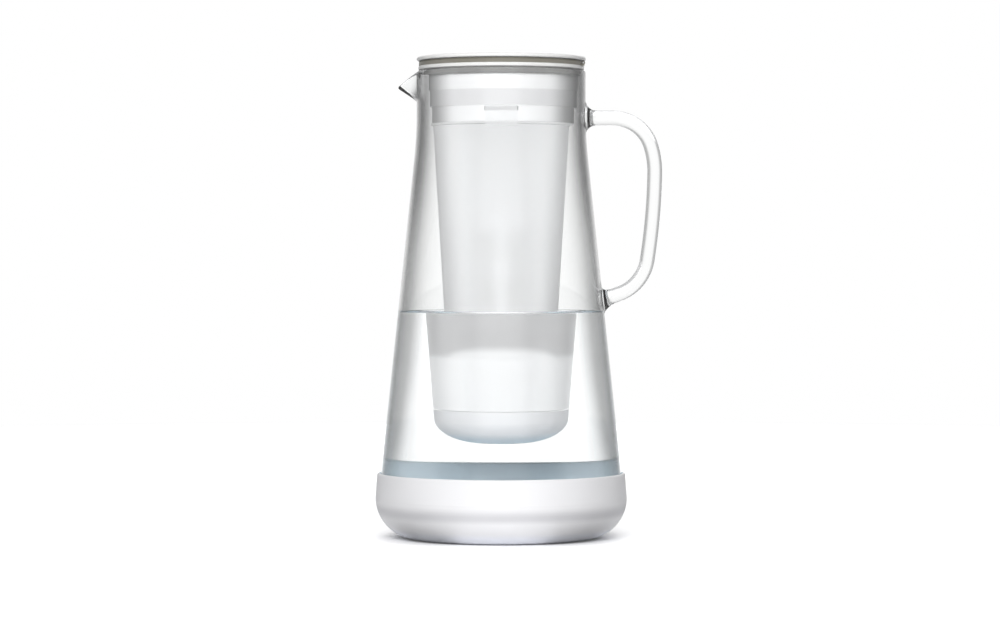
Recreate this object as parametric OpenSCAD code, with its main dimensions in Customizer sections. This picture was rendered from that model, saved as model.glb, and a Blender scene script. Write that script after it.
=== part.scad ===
/* [Glass jug] */
// Height of the jug's rim above the surface it stands on
rim_z = 252; // [225:1:270]
// Outer radius of the straight neck
neck_r = 45.6; // [45:0.1:47]
// Outer radius of the glass where the boot's rim ends
shoulder_r = 64.84; // [62:0.1:66]
// Thickness of the glass wall
glass_t = 2.2; // [1.8:0.1:2.4]
// Thickness of the glass floor
glass_floor_t = 3.0; // [2.5:0.1:5]
// Outer radius of the rounded corner at the bottom of the glass
glass_corner_r = 18; // [16:0.5:20]

/* [Spout] */
// How far the pouring lip reaches from the axis
spout_reach = 55.7; // [53:0.1:58]
// Height of the tip of the pouring lip below the rim
spout_drop = 8.4; // [6:0.2:10]
// Half width of the pouring lip where it leaves the neck
spout_half_w = 9.5; // [8:0.5:12]

/* [Handle] */
// Diameter of the solid glass rod
handle_d = 8.1; // [7:0.1:9]
// Height of the rod's upper run
handle_top_z = 226.7; // [224:0.1:230]
// Radius of the flared foot where the rod is fused to the glass
handle_root_r = 9.5; // [7:0.1:11]

/* [Silicone boot] */
// Height of the boot's rim
boot_rim_z = 35.3; // [30:0.1:40]
// Thickness of the boot's wall
boot_t = 2.0; // [1.5:0.1:3]
// Thickness of silicone under the glass
boot_floor_t = 4.2; // [3:0.1:6]
// Radius of the flat ring that the boot stands on
foot_r = 46; // [40:0.5:47]

/* [Hopper] */
// Outer radius of the hopper where it meets its collar
hopper_top_r = 36.7; // [35:0.1:37]
// Outer radius of the hopper at the seam with its cap
hopper_low_r = 27.6; // [27.4:0.1:29]
// Height of the seam between the hopper and its cap
seam_z = 68.5; // [66:0.5:70]
// Thickness of the hopper's wall
hopper_t = 2.0; // [1.6:0.1:2.2]
// Height of the top of the domed floor over the filter bay
floor_z = 103.9; // [103:0.1:105]

/* [Lid] */
// Radius of the flip lid's disc
lid_r = 45.6; // [45:0.1:46]
// Thickness of the flip lid's disc
lid_t = 2.0; // [1.6:0.1:2.4]
// Radius of the white flange under the finger groove
flange_r = 44.75; // [44.6:0.05:45]

/* [Hidden] */
$fn = 96;
gap = 0.4;
skin = 0.05;

// The glass: a cone that turns into a straight neck
shoulder_z = 35.6;
neck_start_z = 217.3;
neck_blend = 12.5;
lean = atan((shoulder_r - neck_r) / (neck_start_z - shoulder_z));
blend_r = neck_blend / tan(lean / 2);
neck_in = neck_r - glass_t;
glass_bottom = boot_floor_t;
glass_floor = glass_bottom + glass_floor_t;

// The hopper and its collar, which has a flat beside the spout for pouring
rim_seat = rim_z + 0.05;
gasket_t = 0.4;
collar_flange_z = rim_seat + gasket_t;
collar_flange_t = 0.9;
collar_wall = 1.8;
collar_r = [39.3, 41.0, 41.6];
collar_flat = [36.4, 37.3, 37.9];
collar_z = [223.4, 232, 240.5, collar_flange_z];
collar_mouth_r = 34.4;
collar_flange_r = 43.9;
hopper_lip_z = collar_z[0];
hopper_slope = (hopper_top_r - hopper_low_r) / (hopper_lip_z - 1.4 - seam_z);
tab_angle = 24;
tab_in = collar_r[0] + 0.3;
tab_out = tab_in + 1;
tab_low = 221;
hook_low = 229.6;

// The filter bay, its dome and the membrane's socket
bay_r = 25.6;
dome_rise = 5.5;
dome_edge_r = 27;
dome_t = 2.0;
socket_r = 6.5;
socket_wall = 2.0;
socket_top = floor_z + 8.1;

// The lid ring and its hinge
plate_z = collar_flange_z + collar_flange_t;
plate_t = 0.85;
band_z = plate_z + plate_t;
band_t = 2.1;
band_r = 44.4;
band_wall = 3.0;
lid_gasket_t = 0.7;
lid_z = band_z + band_t + lid_gasket_t + 0.3;
skirt_low = 246;
skirt_r = 39.4;
skirt_flat = 35.7;
skirt_wall = 1.4;
hinge_x = 44.1;
hinge_z = lid_z - 1.2;
pin_r = 0.4;
pin_fit = 0.05;
knuckle_r = 1.1;
ear_r = 1.0;
knuckle_half = 4.1;
ear_near = 4.5;
ear_far = 8.6;
hinge_flat = 42.5;
plug_r = 33.4;

// The membrane cartridge
spigot_r = socket_r - 0.3;
cartridge_r = 15;
cartridge_low = socket_top + 0.1;
cartridge_foot_t = 2;
potting_z = cartridge_low + cartridge_foot_t + 2;
potting_t = 6;
fibre_r = 0.8;
fibre_pitch = 3.6;
fibre_z = potting_z + potting_t;
fibre_straight = 32;
cage_low = cartridge_low + cartridge_foot_t;
cage_top = 170;
cage_wall = 1.4;

// The filter pod in the bay and the cap under it
pod_r = bay_r - gap;
pod_wall = 1.6;
pod_neck_r = 23.6;
pod_neck_z = 67.6;
pod_low = 62;
pod_split = 92.5;
bed_r = pod_r - pod_wall - 0.2;
grid_z = 68;
grid_t = 1.2;
screen_t = 0.8;
resin_t = 9.5;
felt_t = 1;
bayonet_lug = 30;
bayonet_ridge = 50;
seal_z = 86;
cap_low = 50.3;
cap_round = [20, 13];
cap_wall = 2;

glass_color = [0.86, 0.91, 0.92, 0.4];
silicone_white = [0.93, 0.93, 0.95];
frosted = [0.88, 0.89, 0.9, 0.7];
plastic_white = [0.94, 0.94, 0.93];
seal_grey = [0.36, 0.35, 0.31];
steel = [0.7, 0.71, 0.73];

// Points of an arc about c, from angle a0 to a1 in n steps
function arc(c, r, a0, a1, n) = [for (i = [0:n]) let (a = a0 + (a1 - a0) * i / n) c + r * [cos(a), sin(a)]];

// Radius of the glass cone at height z, drawn in by inset
function cone_r(z, inset) = shoulder_r - (z - shoulder_z) * tan(lean) - inset / cos(lean);

// Centre of a rounded bottom corner that is tangent to the cone and to the floor
function corner(inset, r, z) = [cone_r(z + r, inset) - r / cos(lean), z + r];

// Half section of the glass surface from the floor to the rim, drawn in by inset
function glass_line(inset, corner_r, z) = concat(
    [[0, z]],
    arc(corner(inset, corner_r, z), corner_r, -90, lean, 14),
    arc([neck_r + blend_r, neck_start_z + neck_blend], blend_r + inset, 180 + lean, 180, 8));

// Underside and top of the domed floor
function dome_z(r, z) = z - dome_rise * pow(r / dome_edge_r, 2);
function dome_line(r0, r1, z) = [for (i = [0:8]) let (r = r0 + (r1 - r0) * i / 8) [r, dome_z(r, z)]];

// Outer radius of the hopper's cone at height z
function hopper_r(z) = hopper_low_r + (z - seam_z) * hopper_slope;

module ring(r_in, r_out, z, h) {
    translate([0, 0, z]) rotate_extrude() translate([r_in, 0]) square([r_out - r_in, h]);
}

// Part of a ring, centred on the direction a
module ring_part(r_in, r_out, z, h, a, width) {
    translate([0, 0, z]) rotate([0, 0, a - width / 2])
        rotate_extrude(angle = width) translate([r_in, 0]) square([r_out - r_in, h]);
}

// A round outline with a flat on the spout's side
module d_shape(r, flat) {
    intersection() {
        circle(r);
        translate([-flat, -r]) square([flat + r, 2 * r]);
    }
}

module d_ring(r, flat, wall, z, h) {
    translate([0, 0, z]) linear_extrude(h) difference() {
        d_shape(r, flat);
        d_shape(r - wall, flat - wall);
    }
}

// The pouring lip's outside: a beak that leaves the neck as a V and droops to its tip
module spout_outside() {
    tip_r = 1.5;
    hull() {
        translate([-spout_reach + tip_r, 0, rim_z - spout_drop - tip_r / 2]) sphere(tip_r, $fn = 24);
        for (s = [-1, 1])
            translate([-neck_in, s * spout_half_w, rim_z - glass_t / 2]) sphere(glass_t / 2, $fn = 24);
        translate([-neck_in - 0.2, 0, rim_z - 14.5]) sphere(glass_t, $fn = 24);
    }
}

// The channel along the lip, open at the top
module spout_channel() {
    channel_r = 0.8;
    channel_w = spout_half_w - glass_t / 2;
    hull() {
        for (up = [0, 12]) {
            translate([-spout_reach + 2.2, 0, rim_z - spout_drop + 1.3 + up]) sphere(channel_r, $fn = 16);
            translate([-neck_in + 3, 0, rim_z - 12.8 + up]) sphere(channel_r, $fn = 16);
        }
        for (s = [-1, 1])
            translate([-neck_in + 3, s * channel_w, rim_z]) sphere(channel_r, $fn = 16);
    }
}

module glass_body() {
    lip = glass_t / 2;
    color(glass_color) difference() {
        union() {
            rotate_extrude() polygon(concat(
                glass_line(0, glass_corner_r, glass_bottom),
                arc([neck_r - lip, rim_z - lip], lip, 0, 90, 5),
                [[0, rim_z]]));
            spout_outside();
        }
        rotate_extrude() polygon(concat(
            glass_line(glass_t, glass_corner_r - glass_floor_t, glass_floor),
            [for (a = [180:-18:90]) [neck_r - lip, rim_z - lip] + lip * [cos(a), sin(a)]],
            [[neck_r - lip, rim_z + 1], [0, rim_z + 1]]));
        spout_channel();
    }
}

// A point on the handle's route after a straight run of length l, and one after a bend of radius r
function ahead(p, heading, l) = p + l * [cos(heading), -sin(heading)];
function bent(p, heading, r, turn) =
    p + r * [sin(heading + turn) - sin(heading), cos(heading + turn) - cos(heading)];

// The rod's route in side view: out of the neck, round four bends of [radius, turn], and back to the cone
handle_bends = [[21.4, 72.9], [47.1, 18], [333.6, 8.1], [23.1, 60.8]];
handle_runs = [17.3, 9.7];
bend_steps = [14, 4, 3, 12];
rod_sides = 28;
start_inset = 2.6;
handle_start = [neck_r - start_inset, handle_top_z];
shoulder_start = ahead(handle_start, 0, handle_runs[0]);
shoulder_heading = handle_bends[0][1];
knuckle_start = bent(shoulder_start, 0, handle_bends[0][0], handle_bends[0][1]);
grip_start = bent(knuckle_start, shoulder_heading, handle_bends[1][0], handle_bends[1][1]);
grip_heading = shoulder_heading + handle_bends[1][1];
tail_start = bent(grip_start, grip_heading, handle_bends[2][0], handle_bends[2][1]);
tail_heading = grip_heading + handle_bends[2][1];
foot_start = bent(tail_start, tail_heading, handle_bends[3][0], handle_bends[3][1]);
foot_heading = tail_heading + handle_bends[3][1];
root_length = 6;
root_depth = 1.2;
wall_heading = 180 - lean;

// Rows of the sweep, each with its point, its heading and the rod's radius there
function flare(i) = let (a = 90 * i / 6) [root_length * (1 - cos(a)), 1 - sin(a)];
function rod_radius(root_r, swell) = handle_d / 2 + (root_r - handle_d / 2) * swell;
function bend_rows(p, heading, bend, n) = [for (i = [1:n]) let (a = bend[1] * i / n)
    [bent(p, heading, bend[0], a), heading + a, handle_d / 2]];
function start_rows(root_r) = [for (i = [0:6])
    [ahead(handle_start, 0, start_inset + flare(i)[0]), 0, rod_radius(root_r, flare(i)[1])]];
function end_rows(root_r) = [for (i = [6:-1:0])
    [ahead(foot_start, foot_heading, handle_runs[1] - flare(i)[0]), wall_heading,
        rod_radius(root_r, flare(i)[1])]];

module swept_rod(rows, sides) {
    last = (len(rows) - 1) * sides;
    points = [for (row = rows, k = [0:sides - 1]) let (a = 360 * k / sides, u = row[2] * cos(a))
        [row[0][0] + u * sin(row[1]), row[2] * sin(a), row[0][1] + u * cos(row[1])]];
    walls = [for (i = [0:len(rows) - 2], k = [0:sides - 1])
        let (a = i * sides + k, b = i * sides + (k + 1) % sides)
            each [[a, a + sides, b], [b, a + sides, b + sides]]];
    ends = [for (k = [1:sides - 2]) each [[0, k, k + 1], [last, last + k + 1, last + k]]];
    polyhedron(points, concat(ends, walls), convexity = 6);
}

// The rod ends inside the wall of the jug, where it is fused to it
module glass_handle() {
    low_root_r = handle_root_r - 1;
    color(glass_color) swept_rod(concat(
        [[ahead(handle_start, 0, start_inset - root_depth), 0, handle_root_r]],
        start_rows(handle_root_r),
        [[shoulder_start, 0, handle_d / 2]],
        bend_rows(shoulder_start, 0, handle_bends[0], bend_steps[0]),
        bend_rows(knuckle_start, shoulder_heading, handle_bends[1], bend_steps[1]),
        bend_rows(grip_start, grip_heading, handle_bends[2], bend_steps[2]),
        bend_rows(tail_start, tail_heading, handle_bends[3], bend_steps[3]),
        end_rows(low_root_r),
        [[ahead(foot_start, foot_heading, handle_runs[1] + root_depth), wall_heading, low_root_r]]),
        rod_sides);
}

module silicone_boot() {
    corner_r = 21.7;
    rim_r = boot_t / 2;
    widest = foot_r + corner_r + 0.2;
    wall_in = cone_r(boot_rim_z - rim_r, 0);
    color(silicone_white) difference() {
        rotate_extrude() polygon(concat(
            [[0, 0], [foot_r, 0]],
            arc([widest - corner_r, corner_r], corner_r, -88, 0, 18),
            arc([wall_in + rim_r, boot_rim_z - rim_r], rim_r, 0, 180, 8),
            [[0, boot_rim_z - rim_r]]));
        rotate_extrude() polygon(concat(
            glass_line(0, glass_corner_r, glass_bottom),
            [[0, rim_z]]));
    }
}

module hopper_collar() {
    shelf_t = 1.4;
    floor_t = 1.6;
    color(frosted) difference() {
        union() {
            for (i = [0:2])
                d_ring(collar_r[i], collar_flat[i], collar_wall, collar_z[i], collar_z[i + 1] - collar_z[i]);
            // Shelf between the lower skirt and the middle one
            translate([0, 0, collar_z[1]]) linear_extrude(shelf_t) difference() {
                d_shape(collar_r[1] - 0.5, collar_flat[1] - 0.5);
                d_shape(collar_r[0] - collar_wall, collar_flat[0] - collar_wall);
            }
            // Floor that carries the hopper
            translate([0, 0, collar_z[0]]) linear_extrude(floor_t) difference() {
                d_shape(collar_r[0] - 0.5, collar_flat[0] - 0.5);
                circle(collar_mouth_r);
            }
            // Flange that hangs on the rim
            translate([0, 0, collar_flange_z]) linear_extrude(collar_flange_t) difference() {
                circle(collar_flange_r);
                d_shape(collar_r[2] - collar_wall, collar_flat[2] - collar_wall);
            }
        }
        // Windows for the hooks of the hopper's snap tabs
        for (a = [-90, 90])
            ring_part(collar_r[0] - 3, collar_r[0] + 0.2, hook_low - 0.4, 2.2, a, tab_angle + 2);
    }
}

module hopper_shell() {
    lip_t = 1.4;
    lip_z = hopper_lip_z - lip_t;
    lip_r = 37.9;
    inner_top = hopper_r(lip_z) - hopper_t;
    wall_foot_z = 98.3;
    wall_foot_r = hopper_r(wall_foot_z) - hopper_t;
    color(frosted) {
        rotate_extrude() polygon(concat(
            [[hopper_low_r, seam_z + 0.2], [hopper_top_r, lip_z], [lip_r, lip_z + 0.4], [lip_r, hopper_lip_z],
                [inner_top, hopper_lip_z], [inner_top, lip_z]],
            dome_line(wall_foot_r, socket_r + socket_wall, floor_z),
            [[socket_r + socket_wall, socket_top], [socket_r, socket_top]],
            dome_line(socket_r, bay_r, floor_z - dome_t),
            [[bay_r, seam_z + 0.2]]));
        for (a = [-90, 90]) {
            ring_part(lip_r - 1, tab_out, tab_low, hopper_lip_z - tab_low - 0.3, a, tab_angle);
            ring_part(tab_in, tab_out, tab_low, collar_z[1] - 0.3 - tab_low, a, tab_angle);
            ring_part(collar_r[0] - 0.8, tab_out, hook_low, 1.4, a, tab_angle);
        }
    }
}

module rim_gasket() {
    lip_low = 249;
    spout_gap = 44;
    color(seal_grey) {
        ring(collar_r[2] + skin, neck_r - 1.1, rim_seat, gasket_t);
        ring_part(neck_in - 1.1, neck_in - 0.3, lip_low, rim_seat - lip_low + 0.2, 0, 360 - spout_gap);
    }
}

module lid_ring() {
    edge_r = 0.75;
    lip_in = collar_flange_r + 0.3;
    lip_low = collar_flange_z + 0.15;
    color(plastic_white) difference() {
        union() {
            // Top plate with the lip that hides the collar's flange
            rotate_extrude() polygon(concat(
                [[34, plate_z], [lip_in, plate_z], [lip_in, lip_low], [flange_r - 0.25, lip_low]],
                arc([flange_r - edge_r, band_z - edge_r], edge_r, 0, 90, 5),
                [[34, band_z]]));
            // Band behind the finger groove
            difference() {
                ring(band_r - band_wall, band_r, band_z - skin, band_t + skin);
                translate([hinge_flat, -15, band_z]) cube([5, 30, band_t + 1]);
            }
            // Skirt that centres the ring in the collar
            d_ring(skirt_r, skirt_flat, skirt_wall, skirt_low, plate_z + skin - skirt_low);
            // Hinge ears
            for (s = [-1, 1])
                translate([hinge_x, s * (ear_near + ear_far) / 2, 0]) {
                    translate([0, 0, hinge_z]) rotate([90, 0, 0])
                        cylinder(r = ear_r, h = ear_far - ear_near, center = true);
                    translate([-2.2, -(ear_far - ear_near) / 2, band_z - skin])
                        cube([2.8, ear_far - ear_near, hinge_z - band_z]);
                }
        }
        translate([0, 0, skirt_low - 1]) linear_extrude(20)
            d_shape(skirt_r - skirt_wall, skirt_flat - skirt_wall);
        translate([hinge_x, 0, hinge_z]) rotate([90, 0, 0])
            cylinder(r = pin_r + pin_fit, h = 2 * ear_far + 1, center = true, $fn = 32);
    }
}

module lid_gasket() {
    color(seal_grey) difference() {
        ring(band_r - band_wall + 0.3, band_r - 0.1, band_z + band_t, lid_gasket_t);
        translate([hinge_flat, -15, band_z]) cube([5, 30, 5]);
    }
}

module flip_lid() {
    edge_r = lid_t / 2;
    dish_r = 38;
    color(plastic_white) difference() {
        union() {
            rotate_extrude() polygon(concat(
                [[0, lid_z]],
                arc([lid_r - edge_r, lid_z + edge_r], edge_r, -90, 90, 10),
                [[dish_r, lid_z + lid_t], [dish_r - 1.5, lid_z + lid_t - 0.6], [0, lid_z + lid_t - 0.6]]));
            // Rim that stiffens the disc and finds the opening
            ring(plug_r - 1.6, plug_r, lid_z - 2.4, 2.5);
            // Hinge knuckle with its web
            translate([hinge_x, 0, hinge_z]) rotate([90, 0, 0])
                cylinder(r = knuckle_r, h = 2 * knuckle_half, center = true);
            translate([hinge_x - knuckle_r, -knuckle_half, hinge_z])
                cube([2 * knuckle_r - 0.3, 2 * knuckle_half, lid_z - hinge_z + 0.3]);
        }
        translate([hinge_x, 0, hinge_z]) rotate([90, 0, 0])
            cylinder(r = pin_r + pin_fit, h = 2 * knuckle_half + 1, center = true, $fn = 32);
    }
}

module hinge_pin() {
    color(steel) translate([hinge_x, 0, hinge_z]) rotate([90, 0, 0])
        cylinder(r = pin_r, h = 2 * ear_far, center = true, $fn = 32);
}

module membrane_base() {
    groove_z = floor_z + 3;
    color(plastic_white) rotate_extrude() polygon([
        [spigot_r - 2, floor_z + 0.6], [spigot_r - 0.6, floor_z + 0.6], [spigot_r, floor_z + 1.4],
        [spigot_r, groove_z], [spigot_r - 1, groove_z], [spigot_r - 1, groove_z + 1.6],
        [spigot_r, groove_z + 1.6], [spigot_r, cartridge_low], [cartridge_r, cartridge_low],
        [cartridge_r, cage_low], [cartridge_r - cage_wall - 0.2, cage_low],
        [cartridge_r - cage_wall - 0.2, potting_z], [cartridge_r - cage_wall - 1.4, potting_z],
        [cartridge_r - cage_wall - 1.4, cage_low], [spigot_r - 2, cage_low]]);
}

module membrane_o_ring() {
    groove_z = floor_z + 3;
    color(seal_grey) ring(spigot_r - 0.95, socket_r - skin, groove_z + 0.1, 1.4);
}

module membrane_potting() {
    color([0.9, 0.88, 0.8]) translate([0, 0, potting_z])
        cylinder(r = cartridge_r - cage_wall - 0.3, h = potting_t);
}

// Fine tubes bent into loops, with both ends held in the potting
module membrane_fibres() {
    color([0.97, 0.97, 0.95])
        for (row = [-2.5:2.5], loop = [0.5:2.5])
            if (norm([row, loop]) * fibre_pitch < 11.5)
                translate([0, row * fibre_pitch, fibre_z]) fibre_loop(loop * fibre_pitch);
}

module fibre_loop(r) {
    for (s = [-1, 1])
        translate([s * r, 0, 0]) cylinder(r = fibre_r, h = fibre_straight, $fn = 24);
    translate([0, 0, fibre_straight]) rotate([90, 0, 0])
        rotate_extrude(angle = 180) translate([r, 0]) circle(fibre_r, $fn = 24);
}

module membrane_cage() {
    window_h = 19;
    windows = 6;
    color(plastic_white) difference() {
        ring(cartridge_r - cage_wall, cartridge_r, cage_low, cage_top - cage_low);
        for (level = [0, 1], i = [0:windows - 1])
            rotate([0, 0, i * 360 / windows])
                translate([cartridge_r - 4, -4.5, fibre_z + 1.5 + level * (window_h + 4)])
                    cube([8, 9, window_h]);
    }
}

module membrane_cap() {
    cap_t = 2.4;
    color(plastic_white) {
        rotate_extrude() polygon(concat(
            [[0, cage_top], [cartridge_r, cage_top]],
            arc([cartridge_r - 1, cage_top + cap_t - 1], 1, 0, 90, 4),
            [[0, cage_top + cap_t]]));
        translate([-10, -1.2, cage_top + 1]) cube([20, 2.4, 8]);
    }
}

module pod_shell() {
    seal_h = 2;
    seat = pod_r - pod_wall;
    color(plastic_white) difference() {
        union() {
            rotate_extrude() polygon([
                [pod_neck_r - pod_wall, pod_low], [pod_neck_r, pod_low], [pod_neck_r, pod_neck_z],
                [pod_r, pod_neck_z + 1.4], [pod_r, seal_z], [seat + 0.6, seal_z],
                [seat + 0.6, seal_z + seal_h], [pod_r, seal_z + seal_h], [pod_r, pod_split],
                [seat, pod_split], [seat, grid_z + grid_t], [pod_neck_r - pod_wall, grid_z + grid_t]]);
            translate([0, 0, grid_z]) cylinder(r = pod_neck_r - 0.5, h = grid_t);
            for (a = [0, 120, 240])
                ring_part(pod_neck_r - 0.3, bay_r - 0.4, 63.3, 2, a, bayonet_lug);
        }
        // Grid under the beds
        for (circle_no = [1:3], i = [0:6 * circle_no - 1])
            rotate([0, 0, i * 60 / circle_no]) translate([circle_no * 6, 0, grid_z - 1])
                cylinder(r = 2, h = grid_t + 2, $fn = 24);
    }
}

module pod_lid() {
    top = floor_z - dome_t - gap;
    color(plastic_white) difference() {
        rotate_extrude() polygon(concat(
            [[0, top - pod_wall]],
            dome_line(1, pod_r - pod_wall, top - pod_wall),
            [[pod_r - pod_wall, pod_split], [pod_r, pod_split]],
            dome_line(pod_r, 1, top),
            [[0, top]]));
        translate([0, 0, top - 4]) cylinder(r = 4, h = 6);
        for (a = [0:45:315])
            rotate([0, 0, a]) translate([10, 0, top - 6]) cylinder(r = 1.5, h = 8, $fn = 24);
    }
}

module pod_seal() {
    seat = pod_r - pod_wall;
    color(seal_grey) ring(seat + 0.65, bay_r - skin, seal_z + 0.2, 1.6);
}

outlet_screen_z = grid_z + grid_t;
resin_z = outlet_screen_z + screen_t;
felt_z = resin_z + resin_t;
carbon_z = felt_z + felt_t;
inlet_screen_z = pod_split - screen_t - 0.2;

module bed(z, h) {
    translate([0, 0, z]) cylinder(r = bed_r, h = h);
}

module outlet_screen() {
    color([0.8, 0.82, 0.84]) bed(outlet_screen_z, screen_t);
}

module resin_bed() {
    color([0.85, 0.68, 0.35]) bed(resin_z, resin_t);
}

module bed_felt() {
    color([0.95, 0.95, 0.92]) bed(felt_z, felt_t);
}

module carbon_bed() {
    color([0.08, 0.08, 0.08]) bed(carbon_z, inlet_screen_z - carbon_z);
}

module inlet_screen() {
    color([0.8, 0.82, 0.84]) bed(inlet_screen_z, screen_t);
}

module bottom_cap() {
    top = seam_z - 0.2;
    top_r = hopper_low_r - 0.02;
    side_z = cap_low + cap_round[1];
    flat_r = top_r - 0.35 - cap_round[0];
    color(plastic_white) difference() {
        union() {
            difference() {
                rotate_extrude() polygon(concat(
                    [[0, cap_low]],
                    [for (i = [0:14]) let (a = -90 + 90 * i / 14)
                        [flat_r + cap_round[0] * cos(a), side_z + cap_round[1] * sin(a)]],
                    [[top_r, top], [0, top]]));
                rotate_extrude() polygon(concat(
                    [[0, cap_low + cap_wall]],
                    [for (i = [0:14]) let (a = -90 + 90 * i / 14)
                        [flat_r + (cap_round[0] - cap_wall) * cos(a),
                            side_z + (cap_round[1] - cap_wall) * sin(a)]],
                    [[bay_r, side_z], [bay_r, top + 1], [0, top + 1]]));
            }
            for (a = [0, 120, 240])
                ring_part(pod_neck_r + 0.4, bay_r + 0.5, 65.7, 1.3, a, bayonet_ridge);
        }
        // Outlet holes
        for (a = [0:45:315])
            rotate([0, 0, a]) translate([6, 0, cap_low - 1]) cylinder(r = 1.5, h = 5, $fn = 24);
        for (a = [0:22.5:350])
            rotate([0, 0, a]) translate([12, 0, cap_low - 1]) cylinder(r = 1.5, h = 7, $fn = 24);
    }
}

glass_body();
glass_handle();
silicone_boot();
hopper_collar();
hopper_shell();
rim_gasket();
lid_ring();
lid_gasket();
flip_lid();
hinge_pin();
membrane_base();
membrane_o_ring();
membrane_potting();
membrane_fibres();
membrane_cage();
membrane_cap();
pod_shell();
pod_lid();
pod_seal();
inlet_screen();
carbon_bed();
bed_felt();
resin_bed();
outlet_screen();
bottom_cap();
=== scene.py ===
"""Looks of a glass filter jug with a flip lid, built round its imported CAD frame. Sizes are in metres."""

import logging
import math
from collections.abc import Callable, Iterable, Sequence
from dataclasses import dataclass, field
from enum import Enum

import bpy
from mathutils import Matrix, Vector


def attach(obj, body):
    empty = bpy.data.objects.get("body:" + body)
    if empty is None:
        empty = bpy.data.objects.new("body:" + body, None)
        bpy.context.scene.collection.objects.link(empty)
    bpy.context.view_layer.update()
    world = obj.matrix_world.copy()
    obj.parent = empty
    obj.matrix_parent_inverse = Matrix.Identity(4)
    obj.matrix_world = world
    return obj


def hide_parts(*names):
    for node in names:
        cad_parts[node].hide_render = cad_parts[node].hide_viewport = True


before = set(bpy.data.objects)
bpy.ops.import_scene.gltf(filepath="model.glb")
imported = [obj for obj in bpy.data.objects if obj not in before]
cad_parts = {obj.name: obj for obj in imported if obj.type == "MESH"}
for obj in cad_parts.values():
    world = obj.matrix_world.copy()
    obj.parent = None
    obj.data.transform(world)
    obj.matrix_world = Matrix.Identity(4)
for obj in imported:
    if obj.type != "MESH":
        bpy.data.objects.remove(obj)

Colour = tuple[float, float, float]
Point = tuple[float, float]
Socket = bpy.types.NodeSocket
Inputs = Callable[[str], Socket]
JUG_BODY = "jug"
JUG_NODES = ("glass_body", "glass_handle")
TONE_SPAN = (0.3, 0.7)
log = logging.getLogger("filter_jug")


class Op(Enum):
    """What a Math node does with its values."""

    ADD = "ADD"
    SUBTRACT = "SUBTRACT"
    MULTIPLY = "MULTIPLY"
    DIVIDE = "DIVIDE"
    POWER = "POWER"
    SQRT = "SQRT"
    SINE = "SINE"
    ABSOLUTE = "ABSOLUTE"
    MAXIMUM = "MAXIMUM"


# --- Node trees -----------------------------------------------------------------------------------


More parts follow.
